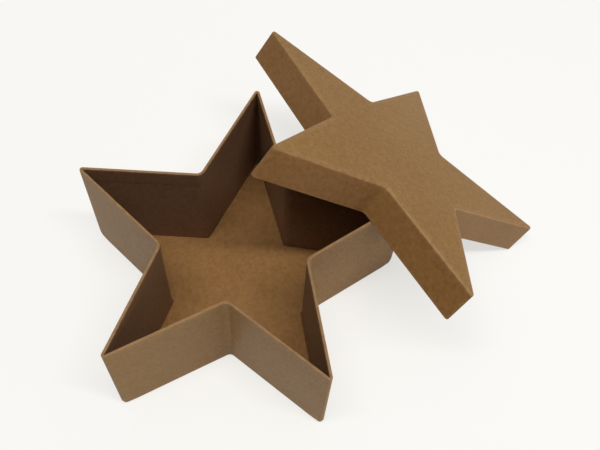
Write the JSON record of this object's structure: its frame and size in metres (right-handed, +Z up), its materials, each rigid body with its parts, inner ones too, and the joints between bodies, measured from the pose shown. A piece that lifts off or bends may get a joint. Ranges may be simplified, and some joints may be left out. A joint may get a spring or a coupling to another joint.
{
  "type": "star-shaped papier-mache box",
  "caption": "Star-shaped kraft papier-mache gift box: a deep tray of folded card with a glued floor, and its shallow lift-off star lid leaning on the tray's rim.",
  "frame": {"origin": "centre of the flat underside of the base tray, on the surface that the box stands on", "axes": "+Z up out of the open tray, +Y towards the tray's back tip, +X towards the leaning lid"},
  "size_m": [0.2896, 0.2513, 0.142],
  "materials": {
    "base_outside": "matt kraft paper over card",
    "base_floor": "matt kraft paper over card",
    "lid_side": "matt kraft paper over card",
    "lid_top": "matt kraft paper over card"
  },
  "bodies": {
    "root": {"base_wall": "base_outside", "base_floor": "base_floor", "lid_wall": "lid_side", "lid_top": "lid_top"}
  },
  "joints": []
}
